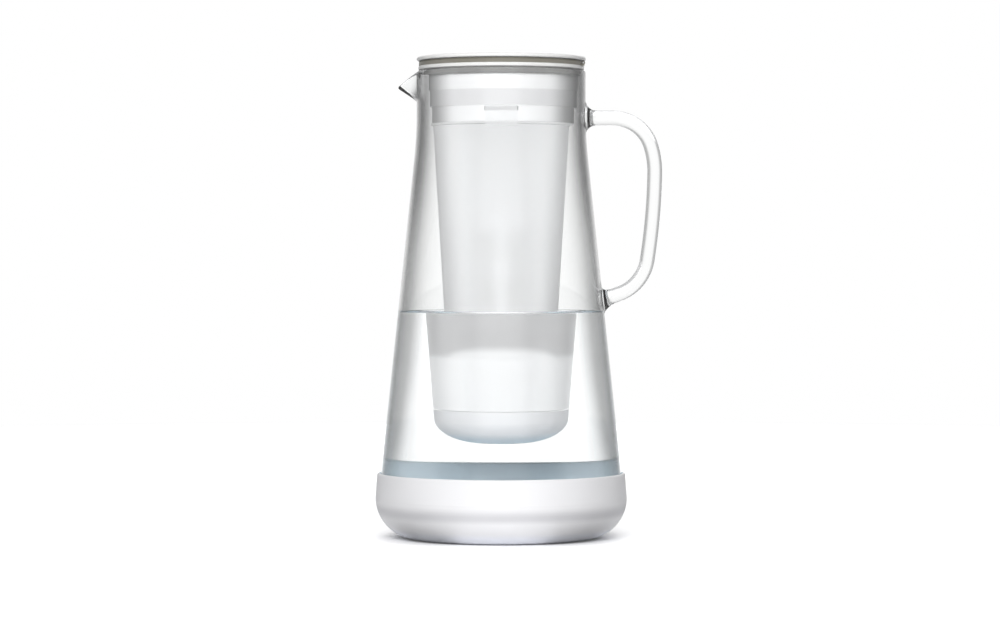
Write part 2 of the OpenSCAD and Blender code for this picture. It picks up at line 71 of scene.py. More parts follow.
@dataclass
class Tree:
    """A node tree with short ways to add and join nodes."""

    tree: bpy.types.NodeTree

    def add(self, kind: str, **settings: object) -> bpy.types.Node:
        """Adds a node.

        Args:
            kind: The node's type name.
            settings: The node's attributes and their values.

        Returns:
            The new node.
        """
        node = self.tree.nodes.new(kind)
        for name, value in settings.items():
            setattr(node, name, value)
        return node

    def feed(self, target: Socket, source: Socket | float | Colour) -> None:
        """Joins a socket to an input, or sets the input to a plain value.

        Args:
            target: The input.
            source: A socket, a number or a colour.
        """
        if isinstance(source, Socket):
            self.tree.links.new(source, target)
        elif isinstance(source, tuple):
            target.default_value = (*source, 1.0) if len(target.default_value) == 4 else source
        else:
            target.default_value = source

    def math(self, operation: Op, a: Socket | float, b: Socket | float = 0.0) -> Socket:
        """Adds a Math node.

        Args:
            operation: What it does.
            a: The first value.
            b: The second value.

        Returns:
            Its output.
        """
        node = self.add("ShaderNodeMath", operation=operation.value)
        self.feed(node.inputs[0], a)
        self.feed(node.inputs[1], b)
        return node.outputs[0]

    def span(self, value: Socket, low: float | Socket, high: float | Socket,
             start: float = 0.0, end: float = 1.0) -> Socket:
        """Maps a value smoothly from one range to another.

        Args:
            value: The value.
            low: Where the change starts.
            high: Where it ends.
            start: The result at low.
            end: The result at high.

        Returns:
            The mapped value.
        """
        node = self.add("ShaderNodeMapRange", interpolation_type="SMOOTHSTEP")
        for name, source in (("Value", value), ("From Min", low), ("From Max", high),
                             ("To Min", start), ("To Max", end)):
            self.feed(node.inputs[name], source)
        return node.outputs["Result"]

    def blend(self, share: Socket | float, a: Socket | Colour, b: Socket | Colour) -> Socket:
        """Mixes two colours.

        Args:
            share: How much of b there is.
            a: The first colour.
            b: The second colour.

        Returns:
            The mixed colour.
        """
        node = self.add("ShaderNodeMix", data_type="RGBA")
        self.feed(node.inputs[0], share)
        self.feed(node.inputs[6], a)
        self.feed(node.inputs[7], b)
        return node.outputs[2]

    def between(self, share: Socket, a: Socket | float, b: Socket | float) -> Socket:
        """Mixes two numbers.

        Args:
            share: How much of b there is.
            a: The first number.
            b: The second number.

        Returns:
            The mixed number.
        """
        node = self.add("ShaderNodeMix", data_type="FLOAT")
        self.feed(node.inputs[0], share)
        self.feed(node.inputs[2], a)
        self.feed(node.inputs[3], b)
        return node.outputs[0]

    def place(self) -> Socket:
        """The point being shaded, in the row frame at rest."""
        return self.add("ShaderNodeTexCoord").outputs["Object"]

    def split(self, vector: Socket) -> bpy.types.Node:
        """Splits a vector.

        Args:
            vector: The vector.

        Returns:
            A node with the outputs X, Y and Z.
        """
        node = self.add("ShaderNodeSeparateXYZ")
        self.feed(node.inputs[0], vector)
        return node

    def across(self, parts: bpy.types.Node) -> Socket:
        """The distance from the Z axis of a point that a node has split into its parts."""
        x, y = (self.math(Op.POWER, parts.outputs[axis], 2.0) for axis in "XY")
        return self.math(Op.SQRT, self.math(Op.ADD, x, y))

    def facing(self) -> Socket:
        """How far the surface turns away from the view.

        Returns:
            0 where it is seen straight on, and 1 where it is seen edge on.
        """
        node = self.add("ShaderNodeLayerWeight")
        node.inputs["Blend"].default_value = 0.5
        return node.outputs["Facing"]

    def use(self, group: bpy.types.NodeTree, **values: Socket | float) -> bpy.types.Node:
        """Places a shared node group.

        Args:
            group: The group.
            values: The values of its inputs, by name.

        Returns:
            The group's node.
        """
        node = self.add("ShaderNodeGroup", node_tree=group)
        for name, value in values.items():
            self.feed(node.inputs[name.replace("_", " ")], value)
        return node


class Effects:
    """The shader node groups that several finishes share. Each is built once."""

    def __init__(self) -> None:
        """Starts with no group built."""
        self._made: dict[str, bpy.types.NodeTree] = {}

    def _group(self, name: str, inputs: dict[str, float], outputs: Sequence[str],
               fill: Callable[[Tree, Inputs], Sequence[Socket]]) -> bpy.types.NodeTree:
        """Builds a group, or gives the one that was built before.

        Args:
            name: The group's name.
            inputs: The names and first values of its inputs.
            outputs: The names of its outputs.
            fill: Builds the nodes, and gives the sockets for the outputs.

        Returns:
            The group.
        """
        if name not in self._made:
            made = bpy.data.node_groups.new(name, "ShaderNodeTree")
            for label, value in inputs.items():
                socket = made.interface.new_socket(label, in_out="INPUT", socket_type="NodeSocketFloat")
                socket.default_value = value
            for label in outputs:
                made.interface.new_socket(label, in_out="OUTPUT", socket_type="NodeSocketFloat")
            tree = Tree(made)
            entry, leave = tree.add("NodeGroupInput"), tree.add("NodeGroupOutput")
            for label, socket in zip(outputs, fill(tree, lambda label: entry.outputs[label])):
                tree.feed(leave.inputs[label], socket)
            self._made[name] = made
        return self._made[name]

    def grain(self) -> bpy.types.NodeTree:
        """Fine moulded grain with a broad, faint unevenness of tone.

        Returns:
            A group with Grains and Clouds, both in lumps per metre, that gives Height and Tone.
        """
        def fill(tree: Tree, value: Inputs) -> Sequence[Socket]:
            """Builds two noises: one fine for the surface, one broad for the tone.

            Args:
                tree: The group's tree.
                value: Gives the socket of one of the group's inputs.

            Returns:
                What goes to the outputs.
            """
            fine_detail, broad_detail = 3.0, 4.0
            found = []
            for label, detail in (("Grains", fine_detail), ("Clouds", broad_detail)):
                node = tree.add("ShaderNodeTexNoise")
                tree.feed(node.inputs["Vector"], tree.place())
                tree.feed(node.inputs["Scale"], value(label))
                node.inputs["Detail"].default_value = detail
                found.append(node.outputs["Fac"])
            return found

        inputs = {"Grains": 1500.0, "Clouds": 30.0}
        return self._group("moulded_grain", inputs, ["Height", "Tone"], fill)

    def band(self) -> bpy.types.NodeTree:
        """A level band of the object.

        Returns:
            A group with Low, High, the blur of the Low edge as Fade and that of the High edge as Blur, all
            in metres, that gives the band's Mask.
        """
        def fill(tree: Tree, value: Inputs) -> Sequence[Socket]:
            """Builds a soft step up at Low and a soft step down at High.

            Args:
                tree: The group's tree.
                value: Gives the socket of one of the group's inputs.

            Returns:
                What goes to the outputs.
            """
            z = tree.split(tree.place()).outputs["Z"]
            steps = []
            for edge, blur in (("Low", "Fade"), ("High", "Blur")):
                half = tree.math(Op.MULTIPLY, value(blur), 0.5)
                steps.append(tree.span(z, tree.math(Op.SUBTRACT, value(edge), half),
                                       tree.math(Op.ADD, value(edge), half)))
            return [tree.math(Op.SUBTRACT, *steps)]

        inputs = {"Low": 0.0, "High": 0.1, "Fade": 0.001, "Blur": 0.001}
        return self._group("level_band", inputs, ["Mask"], fill)

    def painted_lining(self) -> bpy.types.NodeTree:
        """The inner side of a round wall, which takes a painted shade.

        Returns:
            A group with Turn, how far a face turns to the Z axis before it counts in full, that gives the
            Mask of the faces that look at the axis.
        """
        def fill(tree: Tree, value: Inputs) -> Sequence[Socket]:
            """Compares each face's direction with the way out from the axis.

            Args:
                tree: The group's tree.
                value: Gives the socket of one of the group's inputs.

            Returns:
                What goes to the outputs.
            """
            level = tree.add("ShaderNodeVectorMath", operation="MULTIPLY")
            tree.feed(level.inputs[0], tree.place())
            level.inputs[1].default_value = (1.0, 1.0, 0.0)
            outward = tree.add("ShaderNodeVectorMath", operation="NORMALIZE")
            tree.feed(outward.inputs[0], level.outputs[0])
            facing = tree.add("ShaderNodeVectorMath", operation="DOT_PRODUCT")
            tree.feed(facing.inputs[0], outward.outputs[0])
            tree.feed(facing.inputs[1], tree.add("ShaderNodeTexCoord").outputs["Normal"])
            return [tree.span(facing.outputs["Value"], 0.0, tree.math(Op.MULTIPLY, value("Turn"), -1.0))]

        return self._group("inner_side", {"Turn": 0.3}, ["Mask"], fill)

    def edges(self) -> bpy.types.NodeTree:
        """Rubbed outer edges.

        Returns:
            A group with Wear, from 0 to 1, that gives the edges' Mask.
        """
        def fill(tree: Tree, value: Inputs) -> Sequence[Socket]:
            """Builds a mask of outward bends, broken up by noise.

            Args:
                tree: The group's tree.
                value: Gives the socket of one of the group's inputs.

            Returns:
                What goes to the outputs.
            """
            bent, specks, specks_per_m = (0.51, 0.58), (0.35, 0.65), 260.0
            bends = tree.add("ShaderNodeNewGeometry").outputs["Pointiness"]
            speckle = tree.add("ShaderNodeTexNoise")
            tree.feed(speckle.inputs["Vector"], tree.place())
            speckle.inputs["Scale"].default_value = specks_per_m
            raised = tree.span(bends, *bent)
            broken = tree.math(Op.MULTIPLY, raised, tree.span(speckle.outputs["Fac"], *specks))
            return [tree.math(Op.MULTIPLY, broken, value("Wear"))]

        return self._group("rubbed_edges", {"Wear": 0.5}, ["Mask"], fill)

    def beads(self) -> bpy.types.NodeTree:
        """Packed grains or beads.

        Returns:
            A group with Grains, per metre, that gives Height, the gaps' Gap and each grain's own Tone.
        """
        def fill(tree: Tree, value: Inputs) -> Sequence[Socket]:
            """Builds cells, domed from their centres.

            Args:
                tree: The group's tree.
                value: Gives the socket of one of the group's inputs.

            Returns:
                What goes to the outputs.
            """
            roundness, gaps = 2.0, (0.35, 0.75)
            cells = tree.add("ShaderNodeTexVoronoi")
            tree.feed(cells.inputs["Vector"], tree.place())
            tree.feed(cells.inputs["Scale"], value("Grains"))
            away = cells.outputs["Distance"]
            dome = tree.math(Op.SUBTRACT, 1.0, tree.math(Op.POWER, away, roundness))
            return [dome, tree.span(away, *gaps), tree.split(cells.outputs["Color"]).outputs["X"]]

        return self._group("packed_grains", {"Grains": 900.0}, ["Height", "Gap", "Tone"], fill)

    def weave(self) -> bpy.types.NodeTree:
        """A plain square weave in the XY plane.

        Returns:
            A group with Threads, per metre, that gives the threads' Height.
        """
        def fill(tree: Tree, value: Inputs) -> Sequence[Socket]:
            """Builds two crossed sets of threads.

            Args:
                tree: The group's tree.
                value: Gives the socket of one of the group's inputs.

            Returns:
                What goes to the outputs.
            """
            parts = tree.split(tree.place())
            turns = tree.math(Op.MULTIPLY, value("Threads"), math.pi)
            angles = [tree.math(Op.MULTIPLY, parts.outputs[axis], turns) for axis in "XY"]
            waves = [tree.math(Op.ABSOLUTE, tree.math(Op.SINE, angle)) for angle in angles]
            return [tree.math(Op.MAXIMUM, *waves)]

        return self._group("square_weave", {"Threads": 1800.0}, ["Height"], fill)


EFFECTS = Effects()


# --- Finishes -------------------------------------------------------------------------------------


@dataclass(frozen=True)
class Finish:
    """What every finish has: a name, and a way to start its material."""

    name: str

    def start(self) -> tuple[bpy.types.Material, Tree, bpy.types.Node]:
        """Makes an empty material with one Principled shader.

        Returns:
            The material, its tree and the shader.
        """
        material = bpy.data.materials.new(self.name)
        material.use_nodes = True
        tree = Tree(material.node_tree)
        shader = next(n for n in material.node_tree.nodes if n.type == "BSDF_PRINCIPLED")
        return material, tree, shader

    def bump(self, tree: Tree, shader: bpy.types.Node, height: Socket, depth: float) -> None:
        """Gives the surface a relief.

        Args:
            tree: The material's tree.
            shader: The material's shader.
            height: The relief, from 0 to 1.
            depth: How deep the relief is, in metres.
        """
        node = tree.add("ShaderNodeBump")
        node.inputs["Strength"].default_value = 1.0
        node.inputs["Distance"].default_value = depth
        tree.feed(node.inputs["Height"], height)
        tree.feed(shader.inputs["Normal"], node.outputs["Normal"])


@dataclass(frozen=True)
class ClearGlass(Finish):
    """Blown clear glass or water. It bends light, and its colour takes a painted edge shade where it is seen
    edge on, which stands in for dark surroundings seen in the glass.

    The painted edge shade is darker high up, and lighter on what stands out from the jug's neck_r and cone.
    """

    tint: Colour = (0.99, 0.995, 0.993)
    painted_edge_shade: Colour = (0.3, 0.305, 0.305)
    painted_high_shade: Colour = (0.05, 0.05, 0.052)
    painted_rod_shade: Colour = (0.5, 0.5, 0.51)
    high_from: float = 0.145
    high_to: float = 0.205
    edge_from: float = 0.17
    edge_to: float = 0.82
    ior: float = 1.47
    ripple: float = 0.000004
    ripples: float = 45.0
    streaks: float = 0.1
    streaks_per_m: float = 9.0
    streak_span: Point = (0.2, 0.8)
    neck_r: float = 0.0456
    cone_foot_r: float = 0.06861
    cone_slope: float = 0.10589
    outside_span: Point = (0.0008, 0.003)

    def material(self) -> bpy.types.Material:
        """Builds the material.

        Returns:
            The material.
        """
        material, tree, shader = self.start()
        shader.inputs["Transmission Weight"].default_value = 1.0
        shader.inputs["Roughness"].default_value = 0.0
        shader.inputs["IOR"].default_value = self.ior
        waves = tree.use(EFFECTS.grain(), Grains=self.ripples, Clouds=self.streaks_per_m)
        # Painted edge shade: the colour darkens where the glass is seen edge on, most high up and least on
        # the handle and lip.
        painted_edge_share = tree.span(tree.facing(), self.edge_from, self.edge_to)
        streaks = tree.span(waves.outputs["Tone"], *self.streak_span, 1.0 - self.streaks, 1.0)
        streaked = tree.math(Op.MULTIPLY, painted_edge_share, streaks)
        parts = tree.split(tree.place())
        raised = tree.span(parts.outputs["Z"], self.high_from, self.high_to)
        edge = tree.blend(raised, self.painted_edge_shade, self.painted_high_shade)
        edge = tree.blend(self.outside(tree, parts), edge, self.painted_rod_shade)
        tree.feed(shader.inputs["Base Color"], tree.blend(streaked, self.tint, edge))
        self.bump(tree, shader, waves.outputs["Height"], self.ripple)
        return material

    def outside(self, tree: Tree, parts: bpy.types.Node) -> Socket:
        """1 on the handle and the lip, which stand out from the jug's cone and neck.

        Args:
            tree: The material's tree.
            parts: The node that splits the point being shaded.

        Returns:
            The mask.
        """
        fall = tree.math(Op.MULTIPLY, parts.outputs["Z"], self.cone_slope)
        wall_r = tree.math(Op.MAXIMUM, tree.math(Op.SUBTRACT, self.cone_foot_r, fall), self.neck_r)
        return tree.span(tree.math(Op.SUBTRACT, tree.across(parts), wall_r), *self.outside_span)


@dataclass(frozen=True)
class Layer:
    """A level band of a moulding in a colour of its own, used for painted shade, painted shadow and painted
    bounce light, and for a greyer band on the collar.

    fade blurs its low edge and blur its high edge. The low edge sinks by arch where the wall is seen edge on.
    """

    low: float
    high: float
    colour: Colour
    blur: float = 0.0012
    fade: float = 0.0012
    share: float = 1.0
    arch: float = 0.0
    arch_span: Point = (0.0, 0.45)

    def over(self, tree: Tree, colour: Socket) -> Socket:
        """Lays the layer over a colour.

        Args:
            tree: The material's tree.
            colour: The colour under the layer.

        Returns:
            The colour with the layer.
        """
        low: Socket | float = self.low
        if self.arch:
            low = tree.span(tree.facing(), *self.arch_span, self.low, self.low - self.arch)
        band = tree.use(EFFECTS.band(), Low=low, High=self.high, Fade=self.fade, Blur=self.blur)
        return tree.blend(tree.math(Op.MULTIPLY, band.outputs["Mask"], self.share), colour, self.colour)


@dataclass(frozen=True)
class FrostedPlastic(Finish):
    """Translucent frosted plastic, which lets light through, with a painted glow and a painted edge shade.
    Under the water line it is glossier.

    through and backed are how much light passes over and under the water line, dry and wet the roughness
    there, and glow and wet_glow the painted glow over and under it, which grows where it is seen edge on.
    edge is the tone of its painted edge shade, where it is seen edge on over the water line.
    """

    colour: Colour = (0.9, 0.905, 0.91)
    through: float = 0.7
    backed: float = 0.6
    dry: float = 0.6
    wet: float = 0.35
    uneven: float = 0.03
    water_z: float = 0.1215
    water_blur: float = 0.001
    layers: tuple[Layer, ...] = ()
    glow: float = 0.14
    wet_glow: float = 0.22
    glow_span: Point = (0.0, 0.28)
    edge: float = 0.8
    edge_span: Point = (0.17, 0.58)
    ior: float = 1.49
    grains: float = 1400.0
    clouds: float = 22.0
    depth: float = 0.00001

    def material(self) -> bpy.types.Material:
        """Builds the material.

        Returns:
            The material.
        """
        material, tree, shader = self.start()
        shader.inputs["IOR"].default_value = self.ior
        under = self.under_water(tree)
        tree.feed(shader.inputs["Transmission Weight"], tree.between(under, self.through, self.backed))
        grain = tree.use(EFFECTS.grain(), Grains=self.grains, Clouds=self.clouds)
        pale = tuple(min(1.0, c * (1.0 + self.uneven / 2)) for c in self.colour)
        colour = tree.blend(tree.span(grain.outputs["Tone"], *TONE_SPAN), self.colour, pale)
        for layer in self.layers:
            colour = layer.over(tree, colour)
        # Painted edge shade over the water line, and a painted glow that grows where the plastic is seen edge
        # on.
        facing = tree.facing()
        painted_edge_share = tree.math(Op.MULTIPLY, tree.span(facing, *self.edge_span),
                            tree.math(Op.SUBTRACT, 1.0, under))
        darker = tuple(c * self.edge for c in self.colour)
        tree.feed(shader.inputs["Base Color"], tree.blend(painted_edge_share, colour, darker))
        tree.feed(shader.inputs["Emission Color"], colour)
        # spread is the painted glow's strength over and under the water line.
        spread = tree.between(under, self.glow, self.wet_glow)
        glow = tree.math(Op.MULTIPLY, tree.span(facing, *self.glow_span), spread)
        tree.feed(shader.inputs["Emission Strength"], glow)
        low, high = self.dry * (1.0 - self.uneven), self.dry * (1.0 + self.uneven)
        rough = tree.span(grain.outputs["Tone"], *TONE_SPAN, low, high)
        tree.feed(shader.inputs["Roughness"], tree.between(under, rough, self.wet))
        self.bump(tree, shader, grain.outputs["Height"], self.depth)
        return material

    def under_water(self, tree: Tree) -> Socket:
        """1 under the water line and 0 over it.

        Args:
            tree: The material's tree.

        Returns:
            The mask.
        """
        half = self.water_blur / 2
        z = tree.split(tree.place()).outputs["Z"]
        return tree.span(z, self.water_z - half, self.water_z + half, 1.0, 0.0)


@dataclass(frozen=True)
class Moulded(Finish):
    """Moulded plastic or rubber: a fine grain, a faint unevenness, and rubbed edges.

    The lining colour is a painted shade of its inner side, and glow a painted glow where it is seen edge on.
    """

    colour: Colour = (0.86, 0.86, 0.85)
    shade: Colour = (0.82, 0.82, 0.81)
    worn: Colour = (0.92, 0.92, 0.91)
    wear: float = 0.3
    rough: float = 0.4
    spread: float = 0.06
    rough_span: Point = (0.25, 0.75)
    grains: float = 1500.0
    clouds: float = 30.0
    depth: float = 0.00001
    sheen: float = 0.0
    glow: float = 0.0
    glow_span: Point = (0.0, 0.6)
    painted_lining: Colour | None = None
    layers: tuple[Layer, ...] = ()

    def material(self) -> bpy.types.Material:
        """Builds the material.

        Returns:
            The material.
        """
        material, tree, shader = self.start()
        grain = tree.use(EFFECTS.grain(), Grains=self.grains, Clouds=self.clouds)
        colour = tree.blend(tree.span(grain.outputs["Tone"], *TONE_SPAN), self.shade, self.colour)
        for layer in self.layers:
            colour = layer.over(tree, colour)
        edge = tree.use(EFFECTS.edges(), Wear=self.wear).outputs["Mask"]
        colour = tree.blend(edge, colour, self.worn)
        # Painted shade on the inner side.
        if self.painted_lining:
            colour = tree.blend(tree.use(EFFECTS.painted_lining()).outputs["Mask"], colour, self.painted_lining)
        tree.feed(shader.inputs["Base Color"], colour)
        low, high = self.rough - self.spread, self.rough + self.spread
        tree.feed(shader.inputs["Roughness"], tree.span(grain.outputs["Tone"], *self.rough_span, low, high))
        if self.sheen:
            shader.inputs["Sheen Weight"].default_value = self.sheen
            shader.inputs["Sheen Roughness"].default_value = 0.5
        # Painted glow where the surface is seen edge on.
        if self.glow:
            glow = tree.span(tree.facing(), *self.glow_span, 0.0, self.glow)
            tree.feed(shader.inputs["Emission Color"], colour)
            tree.feed(shader.inputs["Emission Strength"], glow)
        self.bump(tree, shader, grain.outputs["Height"], self.depth)
        return material


@dataclass(frozen=True)
class Drawn(Finish):
    """Drawn steel with fine lines along the wire."""

    colour: Colour = (0.62, 0.63, 0.65)
    shade: float = 0.8
    stretch: tuple[float, float, float] = (1.0, 0.02, 1.0)
    lines_per_m: float = 9000.0
    rough: Point = (0.22, 0.4)
    depth: float = 0.000004

    def material(self) -> bpy.types.Material:
        """Builds the material.

        Returns:
            The material.
        """
        material, tree, shader = self.start()
        shader.inputs["Metallic"].default_value = 1.0
        stretch = tree.add("ShaderNodeVectorMath", operation="MULTIPLY")
        tree.feed(stretch.inputs[0], tree.place())
        stretch.inputs[1].default_value = self.stretch
        lines = tree.add("ShaderNodeTexNoise")
        tree.feed(lines.inputs["Vector"], stretch.outputs[0])
        lines.inputs["Scale"].default_value = self.lines_per_m
        drawn = lines.outputs["Fac"]
        grey = tuple(c * self.shade for c in self.colour)
        tree.feed(shader.inputs["Base Color"], tree.blend(drawn, grey, self.colour))
        tree.feed(shader.inputs["Roughness"], tree.span(drawn, 0.2, 0.8, *self.rough))
        self.bump(tree, shader, drawn, self.depth)
        return material


@dataclass(frozen=True)
class Granular(Finish):
    """A bed of packed grains or beads."""

    colour: Colour = (0.03, 0.03, 0.03)
    bright: Colour = (0.08, 0.08, 0.08)
    gap: Colour = (0.005, 0.005, 0.005)
    grains: float = 900.0
    rough: float = 0.6
    spread: float = 0.15
    depth: float = 0.0004

    def material(self) -> bpy.types.Material:
        """Builds the material.

        Returns:
            The material.
        """
        material, tree, shader = self.start()
        beads = tree.use(EFFECTS.beads(), Grains=self.grains)
        body = tree.blend(beads.outputs["Tone"], self.colour, self.bright)
        tree.feed(shader.inputs["Base Color"], tree.blend(beads.outputs["Gap"], body, self.gap))
        low, high = self.rough - self.spread, self.rough + self.spread
        tree.feed(shader.inputs["Roughness"], tree.span(beads.outputs["Tone"], 0.0, 1.0, low, high))
        self.bump(tree, shader, beads.outputs["Height"], self.depth)
        return material


@dataclass(frozen=True)
class Woven(Finish):
    """A fine woven screen."""

    colour: Colour = (0.75, 0.77, 0.79)
    gap: Colour = (0.4, 0.42, 0.44)
    threads: float = 1800.0
    lit_span: Point = (0.75, 0.95)
    rough_span: Point = (0.6, 1.0)
    rough: Point = (0.7, 0.35)
    depth: float = 0.00012

    def material(self) -> bpy.types.Material:
        """Builds the material.

        Returns:
            The material.
        """
        material, tree, shader = self.start()
        height = tree.use(EFFECTS.weave(), Threads=self.threads).outputs["Height"]
        tree.feed(shader.inputs["Base Color"],
                  tree.blend(tree.span(height, *self.lit_span), self.gap, self.colour))
        tree.feed(shader.inputs["Roughness"], tree.span(height, *self.rough_span, *self.rough))
        self.bump(tree, shader, height, self.depth)
        return material


# --- Mesh tools -----------------------------------------------------------------------------------


def arc(centre: Point, radius: float, start: float, end: float, steps: int) -> list[Point]:
    """Points along an arc.

    Args:
        centre: The arc's centre.
        radius: Its radius.
        start: Its first angle, in degrees.
        end: Its last angle, in degrees.
        steps: The number of chords.

    Returns:
        The points, both ends included.
    """
    turns = [math.radians(start + (end - start) * i / steps) for i in range(steps + 1)]
    return [(centre[0] + radius * math.cos(a), centre[1] + radius * math.sin(a)) for a in turns]


def mesh_of(name: str, points: Sequence[Sequence[float]], faces: Iterable[Sequence[int]]) -> bpy.types.Object:
    """Makes a smooth-shaded mesh object.

    Args:
        name: The object's name.
        points: Its vertices.
        faces: Its faces, as indices.

    Returns:
        The object, in the scene.
    """
    mesh = bpy.data.meshes.new(name)
    mesh.from_pydata([tuple(p) for p in points], [], [tuple(f) for f in faces])
    mesh.validate()
    mesh.polygons.foreach_set("use_smooth", [True] * len(mesh.polygons))
    made = bpy.data.objects.new(name, mesh)
    bpy.context.scene.collection.objects.link(made)
    return made


def shell_faces(rows: int, columns: int, closed: bool) -> list[tuple[int, ...]]:
    """The quads of a grid of rings.

    Args:
        rows: The number of rings.
        columns: The number of points in a ring.
        closed: True if the last ring joins the first.

    Returns:
        The faces, as indices.
    """
    made = []
    for i in range(rows if closed else rows - 1):
        low, high = i * columns, (i + 1) % rows * columns
        for k in range(columns):
            after = (k + 1) % columns
            made.append((low + k, low + after, high + after, high + k))
    return made


def cap_ends(faces: list[tuple[int, ...]], first: int, last: int, columns: int, centre: int) -> None:
    """Closes a stack of rings with fans round a point in the middle of each end.

    Args:
        faces: The faces, which get the fans.
        first: The index of the first ring's first point.
        last: The index of the last ring's first point.
        columns: The number of points in a ring.
        centre: The index of the first ring's middle. The last ring's middle comes after it.
    """
    for k in range(columns):
        after = (k + 1) % columns
        faces.append((centre, first + after, first + k))
        faces.append((centre + 1, last + k, last + after))


def dress(node: str, material: bpy.types.Material) -> bpy.types.Object:
    """Gives a CAD node its finish.

    Args:
        node: The node's name.
        material: The finish.

    Returns:
        The node's object.
    """
    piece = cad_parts[node]
    piece.data.materials.clear()
    piece.data.materials.append(material)
    log.info("dressed %s with %s", node, material.name)
    return piece


def let_light_in(piece: bpy.types.Object) -> None:
    """Lets lamps and soft light through a clear piece, so that what it holds is lit."""
    piece.visible_shadow = False
    piece.visible_diffuse = False


# --- The jug --------------------------------------------------------------------------------------


@dataclass
class GlassJug:
    """The blown glass: body, pulled pouring lip and fused rod handle, in one skin.

    rod_bends holds the radius and the turn in degrees of each bend of the rod from the neck down, and
    rod_runs the straight lengths before and after them. skins is how far its ends go into the wall.
    """

    rim_z: float = 0.252
    neck_r: float = 0.0456
    shoulder_r: float = 0.06484
    shoulder_z: float = 0.0356
    neck_start_z: float = 0.2173
    neck_blend: float = 0.0125
    wall: float = 0.0022
    floor_wall: float = 0.003
    floor_z: float = 0.0042
    corner_r: float = 0.018
    spout_reach: float = 0.0557
    spout_low_z: float = 0.2351
    spout_tip_z: float = 0.2425
    spout_half_w: float = 0.0098
    spout_sharp: float = 11.0
    spout_round: float = 0.02
    spout_ends: float = 1.9
    spout_droop: float = 0.12
    fine_turn: float = 34.0
    fine_rows: int = 68
    other_rows: int = 218
    corner_steps: int = 26
    neck_steps: int = 16
    wall_steps: int = 30
    floor_steps: int = 10
    rim_steps: int = 10
    rod_r: float = 0.00405
    rod_start: Point = (0.043, 0.2267)
    rod_bends: tuple[Point, ...] = ((0.0214, 72.9), (0.0471, 18.0), (0.3336, 8.1), (0.0231, 60.8))
    rod_runs: tuple[float, float] = (0.0173, 0.0097)
    bend_steps: tuple[int, ...] = (36, 12, 12, 32)
    run_steps: tuple[int, int] = (26, 22)
    rod_sides: int = 48
    skins: tuple[float, float] = (0.0026, 0.0012)
    root_r: tuple[float, float] = (0.0095, 0.0085)
    root_length: float = 0.006
    glass: ClearGlass = ClearGlass("clear_blown_glass")

    @property
    def lean(self) -> float:
        """The cone's lean from upright, in radians."""
        return math.atan((self.shoulder_r - self.neck_r) / (self.neck_start_z - self.shoulder_z))

    def cone_r(self, z: float, inset: float = 0.0) -> float:
        """The cone's radius at a height, drawn in from the outside of the glass by inset."""
        return self.shoulder_r - (z - self.shoulder_z) * math.tan(self.lean) - inset / math.cos(self.lean)

    def line(self, inset: float, corner_r: float, floor_z: float) -> list[Point]:
        """Half section of the glass from the floor's centre to the neck.

        Args:
            inset: How far the wall is drawn in.
            corner_r: The radius of the rounded corner.
            floor_z: The height of the floor.

        Returns:
            Points of radius and height, upwards.
        """
        lean = math.degrees(self.lean)
        middle_z = floor_z + corner_r
        centre = (self.cone_r(middle_z, inset) - corner_r / math.cos(self.lean), middle_z)
        floor = [(centre[0] * i / self.floor_steps, floor_z) for i in range(1, self.floor_steps)]
        corner = arc(centre, corner_r, -90.0, lean, self.corner_steps)
        bend_r = self.neck_blend / math.tan(self.lean / 2)
        bend_centre = (self.neck_r + bend_r, self.neck_start_z + self.neck_blend)
        neck = arc(bend_centre, bend_r + inset, 180.0 + lean, 180.0, self.neck_steps)
        (r0, z0), (r1, z1) = corner[-1], neck[0]
        steps = self.wall_steps
        cone = [(r0 + (r1 - r0) * i / steps, z0 + (z1 - z0) * i / steps) for i in range(1, steps)]
        return floor + corner + cone + neck

    def angles(self) -> list[float]:
        """The directions of the upright rows of points, closer together at the pouring lip.

        Returns:
            Angles from +X, in radians.
        """
        start = 180.0 - self.fine_turn / 2
        near = [start + self.fine_turn * i / self.fine_rows for i in range(self.fine_rows + 1)]
        other_turn = 360.0 - self.fine_turn
        rest = [near[-1] + other_turn * i / self.other_rows for i in range(1, self.other_rows)]
        return [math.radians(a) for a in near + rest]

    def pulled(self, r: float, z: float, turn: float) -> Vector:
        """A point of the glass, drawn out into the pouring lip where it is near it.

        Args:
            r: The radius before the lip is pulled.
            z: The height before the lip is pulled.
            turn: The direction from +X.

        Returns:
            The point.
        """
        x, y = r * math.cos(turn), r * math.sin(turn)
        if x > 0 or z <= self.spout_low_z:
            return Vector((x, y, z))
        rise = (z - self.spout_low_z) / (self.rim_z - self.spout_low_z)
        across = abs(y) / self.spout_half_w
        fall = math.sqrt(across * across + self.spout_round) - math.sqrt(self.spout_round)
        sharp = self.spout_sharp
        share = math.log1p(math.exp(sharp * (1.0 - fall))) / math.log1p(math.exp(sharp))
        if across > self.spout_ends:
            share = 0.0
        out = rise * rise / (rise + self.spout_droop) * (1.0 + self.spout_droop)
        reach = self.spout_reach - self.neck_r
        low = self.spout_low_z + (self.spout_tip_z - self.spout_low_z) * rise
        return Vector((x - reach * out * share, y, z + (low - z) * share))

    def body(self) -> bpy.types.Object:
        """Builds the body with its lip. The inside is the outside drawn in along its normals.

        Returns:
            The mesh object.
        """
        lip = self.wall / 2
        line = self.line(0.0, self.corner_r, self.floor_z)
        top = self.rim_z - lip
        start = line[-1][1]
        straight = [start + (top - start) * i / self.wall_steps for i in range(1, self.wall_steps + 1)]
        rows = line + [(self.neck_r, z) for z in straight]
        turns = self.angles()
        outer = [[self.pulled(r, z, a) for a in turns] for r, z in rows]
        columns = len(turns)

